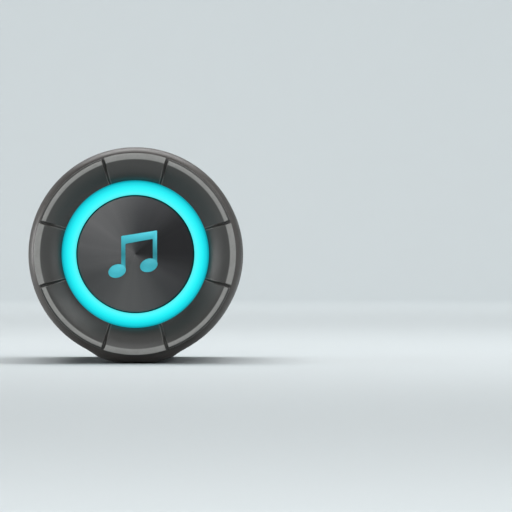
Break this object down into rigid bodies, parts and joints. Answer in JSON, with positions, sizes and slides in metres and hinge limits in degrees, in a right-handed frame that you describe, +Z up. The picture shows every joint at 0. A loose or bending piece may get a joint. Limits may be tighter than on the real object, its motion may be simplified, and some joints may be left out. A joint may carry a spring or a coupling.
{
  "type": "portable bluetooth speaker",
  "caption": "Cylindrical cloth-wrapped portable speaker with notched end rings, glowing light rings, sprung bass radiators, a top key strip and a covered socket panel.",
  "frame": {"origin": "on the table, under the middle of the tube, at the underside of the rubber foot pads", "axes": "+Y along the tube from the emblem end to the rear end, +Z up to the key strip, +X the side the drivers face; the sockets face -X"},
  "size_m": [0.09, 0.212, 0.0912],
  "materials": {
    "graphite_plastic": "satin graphite grey moulded plastic",
    "band_rubber": "satin graphite soft-touch rubber",
    "light_diffuser": "milky light diffuser, lit cyan",
    "spun_metal": "dark anodised, spun brushed",
    "emblem_paint": "teal satin paint",
    "speaker_cloth": "dark grey woven speaker cloth",
    "soft_rubber": "matt black rubber",
    "inner_plastic": "matt black moulded plastic",
    "bare_steel": "plain plated steel",
    "copper_wire": "enamelled winding",
    "circuit_board": "green solder mask",
    "cone_paper": "black pressed paper",
    "cell_wrap": "blue shrink wrap over a metal can"
  },
  "bodies": {
    "speaker_body": {"aux_socket": "inner_plastic", "base_strip": "band_rubber", "battery_cell_lower": "cell_wrap", "battery_cell_upper": "cell_wrap", "battery_tray": "inner_plastic", "cloth_sleeve": "speaker_cloth", "control_panel": "soft_rubber", "driver_basket_front": "bare_steel", "driver_basket_rear": "bare_steel", "driver_magnet_front": "bare_steel", "driver_magnet_rear": "bare_steel", "driver_surround_front": "soft_rubber", "driver_surround_rear": "soft_rubber", "enclosure_tube": "inner_plastic", "end_band_front": "band_rubber", "end_band_rear": "band_rubber", "end_gasket_front": "soft_rubber", "end_gasket_rear": "soft_rubber", "end_ring_front": "graphite_plastic", "end_ring_rear": "graphite_plastic", "end_screw_front_1": "bare_steel", "end_screw_front_2": "bare_steel", "end_screw_front_3": "bare_steel", "end_screw_rear_1": "bare_steel", "end_screw_rear_2": "bare_steel", "end_screw_rear_3": "bare_steel", "foot_pad_front": "soft_rubber", "foot_pad_rear": "soft_rubber", "key_board": "circuit_board", "led_board_front": "circuit_board", "led_board_rear": "circuit_board", "light_ring_front": "light_diffuser", "light_ring_rear": "light_diffuser", "main_board": "circuit_board", "radiator_frame_front": "inner_plastic", "radiator_frame_rear": "inner_plastic", "radiator_surround_front": "soft_rubber", "radiator_surround_rear": "soft_rubber", "radio_module": "bare_steel", "socket_bezel": "graphite_plastic", "socket_board": "circuit_board", "usb_socket": "bare_steel"},
    "radiator_front": {"radiator_cap_front": "spun_metal", "radiator_weight_front": "bare_steel", "emblem": "emblem_paint"},
    "cone_front": {"driver_cone_front": "cone_paper", "voice_coil_front": "copper_wire"},
    "radiator_rear": {"radiator_cap_rear": "spun_metal", "radiator_weight_rear": "bare_steel"},
    "cone_rear": {"driver_cone_rear": "cone_paper", "voice_coil_rear": "copper_wire"},
    "key_power": {"key_power": "soft_rubber"},
    "key_pairing": {"key_pairing": "soft_rubber"},
    "key_volume_down": {"key_volume_down": "soft_rubber"},
    "key_play": {"key_play": "soft_rubber"},
    "key_volume_up": {"key_volume_up": "soft_rubber"},
    "key_light": {"key_light": "soft_rubber"},
    "socket_cover": {"socket_cover": "soft_rubber"}
  },
  "joints": [
    {"name": "radiator_front_stroke", "type": "slide", "parent": "speaker_body", "child": "radiator_front", "axis": [0, -1, 0], "range_m": [-0.0025, 0.0025], "stiffness_N_per_m": 1500},
    {"name": "radiator_rear_stroke", "type": "slide", "parent": "speaker_body", "child": "radiator_rear", "axis": [0, 1, 0], "range_m": [-0.0025, 0.0025], "stiffness_N_per_m": 1500},
    {"name": "cone_front_stroke", "type": "slide", "parent": "speaker_body", "child": "cone_front", "axis": [1, 0, 0], "range_m": [-0.002, 0.002], "stiffness_N_per_m": 500},
    {"name": "cone_rear_stroke", "type": "slide", "parent": "speaker_body", "child": "cone_rear", "axis": [1, 0, 0], "range_m": [-0.002, 0.002], "stiffness_N_per_m": 500},
    {"name": "key_power_press", "type": "slide", "parent": "speaker_body", "child": "key_power", "axis": [0, 0, -1], "range_m": [0, 0.0005], "stiffness_N_per_m": 1500},
    {"name": "key_pairing_press", "type": "slide", "parent": "speaker_body", "child": "key_pairing", "axis": [0, 0, -1], "range_m": [0, 0.0005], "stiffness_N_per_m": 1500},
    {"name": "key_volume_down_press", "type": "slide", "parent": "speaker_body", "child": "key_volume_down", "axis": [0, 0, -1], "range_m": [0, 0.0005], "stiffness_N_per_m": 1500},
    {"name": "key_play_press", "type": "slide", "parent": "speaker_body", "child": "key_play", "axis": [0, 0, -1], "range_m": [0, 0.0005], "stiffness_N_per_m": 1500},
    {"name": "key_volume_up_press", "type": "slide", "parent": "speaker_body", "child": "key_volume_up", "axis": [0, 0, -1], "range_m": [0, 0.0005], "stiffness_N_per_m": 1500},
    {"name": "key_light_press", "type": "slide", "parent": "speaker_body", "child": "key_light", "axis": [0, 0, -1], "range_m": [0, 0.0005], "stiffness_N_per_m": 1500},
    {"name": "socket_cover_hinge", "type": "hinge", "parent": "speaker_body", "child": "socket_cover", "pos_m": [-0.04428, 0, 0.03799], "axis": [0, -1, 0], "range_deg": [0, 110]}
  ]
}
